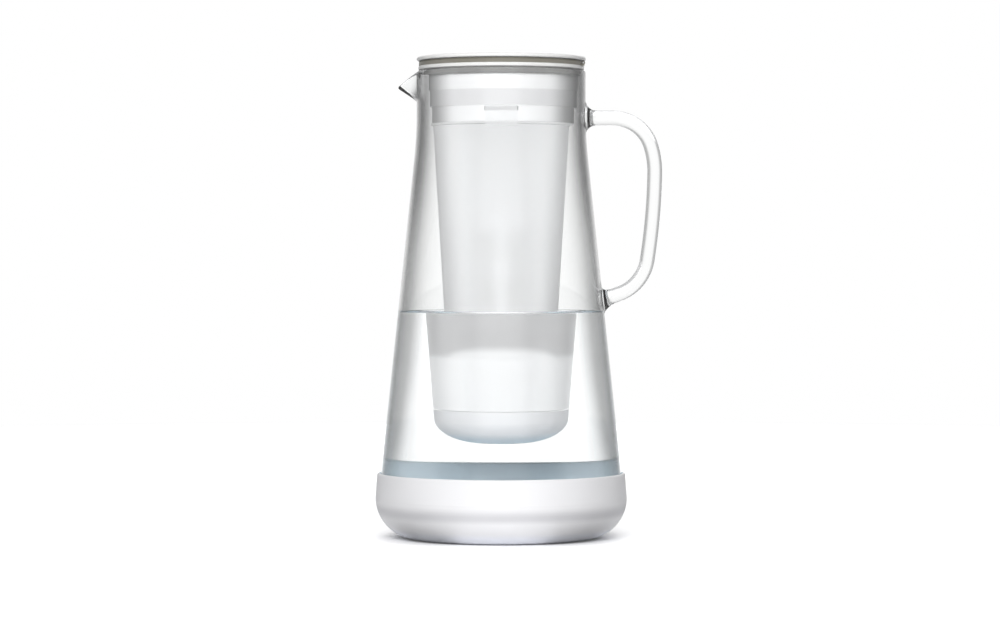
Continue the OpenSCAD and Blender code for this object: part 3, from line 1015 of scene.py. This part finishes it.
        def normal(i: int, k: int) -> tuple[Vector, Vector]:
            """Finds which way the outside looks and rises at a point.

            Args:
                i: The point's row.
                k: The point's column.

            Returns:
                The outward normal and the upward tangent.
            """
            up = outer[min(i + 1, len(outer) - 1)][k] - outer[max(i - 1, 0)][k]
            along = outer[i][(k + 1) % columns] - outer[i][k - 1]
            return along.cross(up).normalized(), up.normalized()

        inner: list[list[Vector]] = []
        lips: list[list[Vector]] = [[] for _ in range(1, self.rim_steps)]
        for i, (_, z) in enumerate(rows):
            share = min(1.0, max(0.0, (z - self.floor_z) / self.corner_r))
            thick = self.floor_wall + (self.wall - self.floor_wall) * share
            inner.append([outer[i][k] - normal(i, k)[0] * thick for k in range(columns)])
        for k in range(columns):
            out, up = normal(len(outer) - 1, k)
            middle = outer[-1][k] - out * lip
            for j, ring in enumerate(lips, start=1):
                a = math.pi * j / self.rim_steps
                ring.append(middle + out * (lip * math.cos(a)) + up * (lip * math.sin(a)))
        rings = outer + lips + inner[::-1]
        points = [p for ring in rings for p in ring]
        faces = shell_faces(len(rings), columns, False)
        points += [Vector((0, 0, self.floor_z)), Vector((0, 0, self.floor_z + self.floor_wall))]
        cap_ends(faces, 0, (len(rings) - 1) * columns, columns, len(points) - 2)
        return mesh_of("glass_jug", points, faces)

    def route(self) -> list[tuple[Point, float]]:
        """The middle line of the rod from the neck to the cone, in the XZ plane.

        Returns:
            Points with their headings, in radians downwards from +X.
        """
        at, heading = self.rod_start, 0.0
        made: list[tuple[Point, float]] = [(at, heading)]

        def run(length: float, steps: int) -> None:
            """Goes straight on.

            Args:
                length: How far.
                steps: The number of points.
            """
            nonlocal at
            step = length / steps
            for _ in range(steps):
                at = (at[0] + step * math.cos(heading), at[1] - step * math.sin(heading))
                made.append((at, heading))

        def bend(radius: float, turn: float, steps: int) -> None:
            """Goes round a bend to the right, seen from the front.

            Args:
                radius: The bend's radius.
                turn: How far it turns, in degrees.
                steps: The number of points.
            """
            nonlocal at, heading
            start, first = at, heading
            for i in range(1, steps + 1):
                heading = first + math.radians(turn) * i / steps
                at = (start[0] + radius * (math.sin(heading) - math.sin(first)),
                      start[1] + radius * (math.cos(heading) - math.cos(first)))
                made.append((at, heading))

        run(self.rod_runs[0], self.run_steps[0])
        for (radius, turn), steps in zip(self.rod_bends, self.bend_steps):
            bend(radius, turn, steps)
        run(self.rod_runs[1] + self.skins[1], self.run_steps[1])
        return made

    def handle(self) -> bpy.types.Object:
        """Builds the rod with its flared roots, which end inside the wall.

        Returns:
            The mesh object.
        """
        sides, skins = self.rod_sides, self.skins
        route = self.route()
        lengths = [0.0]
        for (a, _), (b, _) in zip(route, route[1:]):
            lengths.append(lengths[-1] + math.dist(a, b))
        total = lengths[-1]
        deepest = -0.0011
        wall_heading = math.pi - self.lean
        points: list[Vector] = []
        for (at, heading), length in zip(route, lengths):
            start_gap, end_gap = length - skins[0], total - skins[1] - length
            gap, root = min((start_gap, self.root_r[0]), (end_gap, self.root_r[1]))
            if gap < deepest:
                continue
            near = min(1.0, max(0.0, gap / self.root_length))
            swell = 1.0 - math.sqrt(max(0.0, 1.0 - (1.0 - near) ** 2))
            radius = self.rod_r + (root - self.rod_r) * swell
            settle = (1.0 - near) ** 2
            facing = heading
            if end_gap < start_gap:
                facing = heading + (wall_heading - heading) * settle
            for k in range(sides):
                a = 2 * math.pi * k / sides
                u, y = radius * math.cos(a), radius * math.sin(a)
                x, z = at[0] + u * math.sin(facing), at[1] + u * math.cos(facing)
                wall_r = self.neck_r if start_gap < end_gap else self.cone_r(z)
                x -= settle * (wall_r - math.sqrt(wall_r * wall_r - y * y))
                points.append(Vector((x, y, z)))
        rows = len(points) // sides
        faces = [f[::-1] for f in shell_faces(rows, sides, False)]
        faces.append(tuple(range(sides)))
        faces.append(tuple((rows - 1) * sides + k for k in reversed(range(sides))))
        return mesh_of("glass_rod", points, faces)

    def build(self) -> bpy.types.Object:
        """Fuses the rod to the body.

        Returns:
            The finished jug.
        """
        body, rod = self.body(), self.handle()
        fuse = body.modifiers.new("fuse", "BOOLEAN")
        fuse.operation, fuse.solver, fuse.object = "UNION", "EXACT", rod
        bpy.context.view_layer.update()
        graph = bpy.context.evaluated_depsgraph_get()
        fused = bpy.data.meshes.new_from_object(body.evaluated_get(graph))
        body.modifiers.clear()
        body.data = fused
        bpy.data.objects.remove(rod)
        fused.polygons.foreach_set("use_smooth", [True] * len(fused.polygons))
        fused.materials.clear()
        fused.materials.append(self.glass.material())
        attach(body, JUG_BODY)
        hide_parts(*JUG_NODES)
        let_light_in(body)
        log.info("glass jug: %d faces", len(fused.polygons))
        return body


@dataclass
class Water:
    """The water that the jug holds, up to a level line with a small rise at the glass.

    top_steps is how far each ring of its top lies from the glass. The rise falls off over reach.
    """

    jug: GlassJug
    level: float = 0.1215
    rise: float = 0.0012
    reach: float = 0.0011
    bite: float = 0.0001
    wall_top: float = 0.004
    near_level: tuple[float, float] = (-0.003, -0.001)
    top_steps: tuple[float, ...] = (
        0.0, 0.0002, 0.0004, 0.0007, 0.001, 0.0014, 0.002, 0.0028, 0.004, 0.006, 0.01, 0.02, 0.04)
    # The water's colour takes a light painted edge shade where it is seen edge on.
    liquid: ClearGlass = ClearGlass(
        "still_water", tint=(0.99, 0.994, 0.995), painted_edge_shade=(0.85, 0.87, 0.88), ior=1.333,
        ripple=0.0, ripples=30.0)

    def build(self) -> bpy.types.Object:
        """Builds the water, a hair larger than the inside of the glass so that the two surfaces never part.

        Returns:
            The mesh object.
        """
        jug = self.jug
        line = jug.line(jug.wall - self.bite, jug.corner_r - jug.floor_wall + self.bite,
                        jug.floor_z + jug.floor_wall - self.bite)
        below = [p for p in line if p[1] < self.level - self.wall_top]
        heights = [self.level + d for d in (*self.near_level, self.rise / 2, self.rise)]
        edge = [(jug.cone_r(z, jug.wall - self.bite), z) for z in heights]
        side = edge[-1][0] - self.bite
        top = [(side - d, self.level + self.rise * math.exp(-d / self.reach)) for d in self.top_steps]
        rows = below + edge + top
        turns = jug.angles()
        points = [Vector((r * math.cos(a), r * math.sin(a), z)) for r, z in rows for a in turns]
        faces = shell_faces(len(rows), len(turns), False)
        points += [Vector((0, 0, rows[0][1])), Vector((0, 0, self.level))]
        cap_ends(faces, 0, (len(rows) - 1) * len(turns), len(turns), len(points) - 2)
        water = mesh_of("water", points, faces)
        water.data.materials.append(self.liquid.material())
        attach(water, JUG_BODY)
        let_light_in(water)
        log.info("water up to %.1f mm", self.level * 1000)
        return water


@dataclass
class Boot:
    """The silicone boot over the jug's bottom."""

    silicone: Moulded = Moulded(
        "satin_white_silicone", colour=(0.87, 0.87, 0.885), shade=(0.855, 0.855, 0.87),
        worn=(0.9, 0.9, 0.91), wear=0.2, rough=0.5, spread=0.05, grains=900.0, clouds=24.0,
        depth=0.000012, sheen=0.1,
        # The lining colour is a painted shade, cool and darker, on the inner side that lies on the glass. The
        # first layer is a painted shade band where the boot curves under, and the second a painted bluish
        # bounce light along its foot.
        painted_lining=(0.65, 0.75, 0.81), layers=(
            Layer(0.013, 0.018, (0.66, 0.66, 0.68), blur=0.005, fade=0.004),
            Layer(-0.01, 0.005, (0.9, 0.92, 0.98), blur=0.004)))

    def build(self) -> None:
        """Dresses the boot."""
        dress("silicone_boot", self.silicone.material())


@dataclass
class Hopper:
    """The lift-out reservoir: frosted shell, stepped collar and the ring under its flange."""

    # The shell's layer is a painted shade band from the pod up to the water line, where the shaded inside
    # shows; its low edge arches down where the wall is seen edge on.
    shell: FrostedPlastic = FrostedPlastic(
        "frosted_shell", colour=(0.9, 0.905, 0.91), backed=0.3,
        layers=(Layer(0.1018, 0.1215, (0.6, 0.6, 0.605), blur=0.0004, fade=0.006, arch=0.005),))
    # The collar's edge value gives it a strong painted edge shade where it is seen edge on; its layer is a
    # greyer level band.
    collar: FrostedPlastic = FrostedPlastic(
        "translucent_collar", colour=(0.97, 0.975, 0.98), through=0.35, glow=0.0, edge=0.38,
        dry=0.3, wet=0.3, layers=(Layer(0.232, 0.2405, (0.78, 0.78, 0.79), share=0.8),))
    seal: Moulded = Moulded(
        "grey_seal", colour=(0.27, 0.27, 0.265), shade=(0.23, 0.23, 0.225), worn=(0.33, 0.33, 0.325),
        rough=0.55, grains=1100.0, depth=0.00001)

    def build(self) -> None:
        """Dresses the hopper's nodes."""
        for node, finish in (("hopper_shell", self.shell), ("hopper_collar", self.collar)):
            let_light_in(dress(node, finish.material()))
        dress("rim_gasket", self.seal.material())


@dataclass
class LidStack:
    """The lid ring with its seal, the flip lid and the hinge pin."""

    white: Moulded = Moulded("satin_white_lid", colour=(0.84, 0.84, 0.83), shade=(0.82, 0.82, 0.81),
                             rough=0.38, grains=1300.0, clouds=26.0, depth=0.000008)
    # The ring's dark olive layer is a painted shadow round its recessed neck between the flange and the lid.
    ring: Moulded = Moulded(
        "satin_white_ring", colour=(0.84, 0.84, 0.83), shade=(0.82, 0.82, 0.81), rough=0.38,
        grains=1300.0, clouds=26.0, depth=0.000008, wear=0.0,
        layers=(Layer(0.25435, 0.2572, (0.2, 0.19, 0.16), blur=0.0001, fade=0.0001),))
    # The seal's dark olive colour is a painted shadow in the gap between the lid and the flange.
    seal: Moulded = Moulded(
        "lid_seal_painted_shadow", colour=(0.12, 0.115, 0.09), shade=(0.1, 0.095, 0.075), worn=(0.18, 0.17, 0.15),
        rough=0.5, grains=1100.0, depth=0.00001)
    steel: Drawn = Drawn("drawn_steel")

    def build(self) -> None:
        """Dresses the lid's nodes."""
        dress("flip_lid", self.white.material())
        dress("lid_ring", self.ring.material())
        dress("lid_gasket", self.seal.material())
        dress("hinge_pin", self.steel.material())


@dataclass
class Filters:
    """The two filters in the hopper: the membrane cartridge, and the carbon and ion exchange pod."""

    plastic: Moulded = Moulded("white_filter_plastic", colour=(0.88, 0.885, 0.9), shade=(0.865, 0.87, 0.885),
                               rough=0.42, grains=1400.0, depth=0.000008)
    # The cap's glow is a painted glow where it is seen edge on, and its layer a painted bluish shade over its
    # lower, downward-facing part.
    cap: Moulded = Moulded(
        "white_cap_plastic", colour=(0.88, 0.885, 0.9), shade=(0.865, 0.87, 0.885), rough=0.42,
        grains=1400.0, depth=0.000008, glow=0.2, layers=(Layer(0.0, 0.0545, (0.66, 0.76, 0.82), blur=0.006),))
    seal: Moulded = Moulded("black_o_ring", colour=(0.04, 0.04, 0.04), shade=(0.03, 0.03, 0.03),
                            worn=(0.09, 0.09, 0.09), rough=0.45)
    pale_seal: Moulded = Moulded("white_pod_seal", colour=(0.85, 0.85, 0.86), shade=(0.82, 0.82, 0.83),
                                 wear=0.0, rough=0.5, grains=1100.0)
    resin: Moulded = Moulded("cast_potting_resin", colour=(0.78, 0.74, 0.6), shade=(0.72, 0.67, 0.52),
                             wear=0.0, rough=0.25, grains=500.0, clouds=60.0, depth=0.00002)
    fibre: Moulded = Moulded("hollow_fibre", colour=(0.9, 0.9, 0.87), shade=(0.84, 0.84, 0.8),
                             wear=0.0, rough=0.75, grains=3200.0, depth=0.00002, sheen=0.3)
    felt: Moulded = Moulded("pressed_felt", colour=(0.88, 0.88, 0.84), shade=(0.78, 0.78, 0.73),
                            wear=0.0, rough=0.9, grains=2600.0, clouds=150.0, depth=0.00015, sheen=0.4)
    screen: Woven = Woven("woven_screen")
    carbon: Granular = Granular("granular_carbon")
    beads: Granular = Granular("exchange_beads", colour=(0.62, 0.38, 0.12), bright=(0.78, 0.55, 0.22),
                               gap=(0.2, 0.11, 0.03), grains=1300.0, rough=0.35)

    def build(self) -> None:
        """Dresses the filters' nodes."""
        plan = {
            self.plastic: ("membrane_base", "membrane_cage", "membrane_cap", "pod_shell", "pod_lid"),
            self.cap: ("bottom_cap",),
            self.seal: ("membrane_o_ring",),
            self.pale_seal: ("pod_seal",),
            self.resin: ("membrane_potting",),
            self.fibre: ("membrane_fibres",),
            self.felt: ("bed_felt",),
            self.screen: ("inlet_screen", "outlet_screen"),
            self.carbon: ("carbon_bed",),
            self.beads: ("resin_bed",),
        }
        for finish, nodes in plan.items():
            material = finish.material()
            for node in nodes:
                dress(node, material)


# --- The studio -----------------------------------------------------------------------------------


@dataclass
class Lamp:
    """A large soft lamp."""

    name: str
    at: tuple[float, float, float]
    size: tuple[float, float]
    power: float
    aim: tuple[float, float, float] = (0.0, 0.0, 0.11)

    def build(self) -> None:
        """Adds the lamp, which glass neither mirrors nor shows."""
        data = bpy.data.lights.new(self.name, "AREA")
        data.shape, data.size, data.size_y, data.energy = "RECTANGLE", *self.size, self.power
        lamp = bpy.data.objects.new(self.name, data)
        lamp.location = self.at
        lamp.rotation_euler = (Vector(self.aim) - Vector(self.at)).to_track_quat("-Z", "Y").to_euler()
        lamp.visible_glossy = False
        lamp.visible_transmission = False
        bpy.context.scene.collection.objects.link(lamp)


@dataclass
class Studio:
    """A plain pale floor, soft white surroundings, large lamps, and the camera at the photograph's angle.

    fill is the light that the surroundings give, corner and ceiling how bright they look between the four
    white sides and overhead. The floor's glow goes from glow_near to glow_far over glow_span, and a painted
    contact shadow cuts it within contact of what stands on it. Away from the camera the floor's colour takes
    the same corners as a painted shade.
    """

    distance: float = 1.836
    height: float = 0.149
    pitch: float = 0.851
    side: float = -0.00065
    lens: float = 122.4
    fill: float = 0.04
    corner: float = 0.5
    corner_span: Point = (0.835, 0.965)
    ceiling: float = 0.8
    ceiling_span: Point = (0.15, 0.95)
    floor_r: float = 1.3
    floor_colour: Colour = (0.92, 0.922, 0.935)
    glow_near: float = 0.52
    glow_far: float = 0.7
    glow_span: Point = (0.15, 0.6)
    contact: float = 0.04
    contact_shadow_glow: float = 0.15
    bounces: int = 24
    clear_bounces: int = 20
    open_bounces: int = 16
    lamps: list[Lamp] = field(default_factory=lambda: [
        Lamp("front_lamp", (-0.13, -1.75, 0.9), (1.1, 0.9), 36.5),
        Lamp("back_lamp", (0.3, 1.9, 0.8), (1.2, 1.0), 18.0),
        Lamp("top_lamp", (0.0, -0.1, 1.6), (0.8, 0.8), 4.5),
    ])

    def camera(self) -> None:
        """Adds the camera."""
        data = bpy.data.cameras.new("camera")
        data.lens, data.sensor_width, data.sensor_fit = self.lens, 36.0, "HORIZONTAL"
        data.clip_start, data.clip_end = 0.05, 50.0
        camera = bpy.data.objects.new("camera", data)
        camera.location = (self.side, -self.distance, self.height)
        camera.rotation_euler = (math.radians(90.0 - self.pitch), 0.0, 0.0)
        bpy.context.scene.collection.objects.link(camera)
        bpy.context.scene.camera = camera

    def seen(self, tree: Tree) -> Socket:
        """1 for a ray that shows the surroundings: to the camera, in gloss or through glass.

        Args:
            tree: The node tree.

        Returns:
            The mask.
        """
        path = tree.add("ShaderNodeLightPath").outputs
        either = tree.math(Op.MAXIMUM, path["Is Glossy Ray"], path["Is Transmission Ray"])
        return tree.math(Op.MAXIMUM, path["Is Camera Ray"], either)

    def walls(self, tree: Tree, way: Socket) -> Socket:
        """How bright the surroundings are in a direction: white on four sides, greyer in the corners between.

        Args:
            tree: The node tree.
            way: The direction, or a point on the floor.

        Returns:
            The brightness.
        """
        least = 0.001
        parts = tree.split(way)
        x, y = (tree.math(Op.ABSOLUTE, parts.outputs[axis]) for axis in "XY")
        across = tree.math(Op.MAXIMUM, tree.across(parts), least)
        toward = tree.math(Op.DIVIDE, tree.math(Op.MAXIMUM, x, y), across)
        return tree.span(toward, *self.corner_span, self.corner, 1.0)

    def world(self) -> None:
        """Builds the surroundings: white walls on four sides, greyer between them and overhead."""
        world = bpy.data.worlds.new("soft_studio")
        bpy.context.scene.world = world
        world.use_nodes = True
        tree = Tree(world.node_tree)
        background = next(n for n in world.node_tree.nodes if n.type == "BACKGROUND")
        way = tree.add("ShaderNodeTexCoord").outputs["Generated"]
        above = tree.span(tree.split(way).outputs["Z"], *self.ceiling_span, 1.0, self.ceiling)
        path = tree.add("ShaderNodeLightPath").outputs
        room = tree.math(Op.MULTIPLY, self.walls(tree, way), above)
        plain = tree.math(Op.MAXIMUM, room, path["Is Camera Ray"])
        tree.feed(background.inputs["Color"], (1.0, 1.0, 1.0))
        tree.feed(background.inputs["Strength"], tree.between(self.seen(tree), self.fill, plain))

    def floor(self) -> None:
        """Adds the floor, which shows white and keeps the soft shadow, with a painted contact shadow and
        painted corner shade.
        """
        sides = 120
        rim = [(x, y, 0.0) for x, y in arc((0.0, 0.0), self.floor_r, 0.0, 360.0, sides)[:-1]]
        floor = mesh_of("floor", rim, [tuple(range(len(rim)))])
        material = bpy.data.materials.new("pale_floor")
        material.use_nodes = True
        tree = Tree(material.node_tree)
        shader = next(n for n in material.node_tree.nodes if n.type == "BSDF_PRINCIPLED")
        mottle = tree.use(EFFECTS.grain(), Grains=400.0, Clouds=3.0)
        path = tree.add("ShaderNodeLightPath").outputs
        # Away from the camera the floor's colour and glow take the greyer corners as a painted shade.
        painted_corner_shade = tree.math(Op.MAXIMUM, self.walls(tree, tree.place()), path["Is Camera Ray"])
        uneven = 0.01
        paler = tuple(c * (1.0 + uneven) for c in self.floor_colour)
        pale = tree.blend(mottle.outputs["Tone"], self.floor_colour, paler)
        tree.feed(shader.inputs["Base Color"], tree.blend(painted_corner_shade, (0.0, 0.0, 0.0), pale))
        shader.inputs["Roughness"].default_value = 0.9
        shader.inputs["Specular IOR Level"].default_value = 0.0
        tree.feed(shader.inputs["Emission Color"], (1.0, 1.0, 1.0))
        # Painted contact shadow: the glow is cut where the floor is near what stands on it.
        near = tree.add("ShaderNodeAmbientOcclusion", samples=16)
        near.inputs["Distance"].default_value = self.contact
        painted_contact_shadow = tree.span(near.outputs["AO"], 0.0, 1.0, self.contact_shadow_glow, 1.0)
        lit = tree.math(Op.MULTIPLY, tree.math(Op.MULTIPLY, self.seen(tree), painted_corner_shade), painted_contact_shadow)
        out = tree.add("ShaderNodeVectorMath", operation="LENGTH")
        tree.feed(out.inputs[0], tree.place())
        glow = tree.span(out.outputs["Value"], *self.glow_span, self.glow_near, self.glow_far)
        tree.feed(shader.inputs["Emission Strength"], tree.math(Op.MULTIPLY, lit, glow))
        floor.data.materials.append(material)

    def build(self) -> None:
        """Builds the studio."""
        self.camera()
        self.world()
        self.floor()
        for lamp in self.lamps:
            lamp.build()
        scene = bpy.context.scene
        scene.view_settings.view_transform = "Standard"
        scene.cycles.max_bounces = self.bounces
        scene.cycles.transmission_bounces = self.clear_bounces
        scene.cycles.transparent_max_bounces = self.open_bounces


def main() -> None:
    """Builds the studio and dresses each sub-assembly."""
    logging.basicConfig(level=logging.INFO, format="%(name)s: %(message)s")
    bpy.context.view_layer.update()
    Studio().build()
    jug = GlassJug()
    for part in (jug, Water(jug), Boot(), Hopper(), LidStack(), Filters()):
        part.build()
        log.info("built %s", type(part).__name__)


if __name__ == "__main__":
    main()
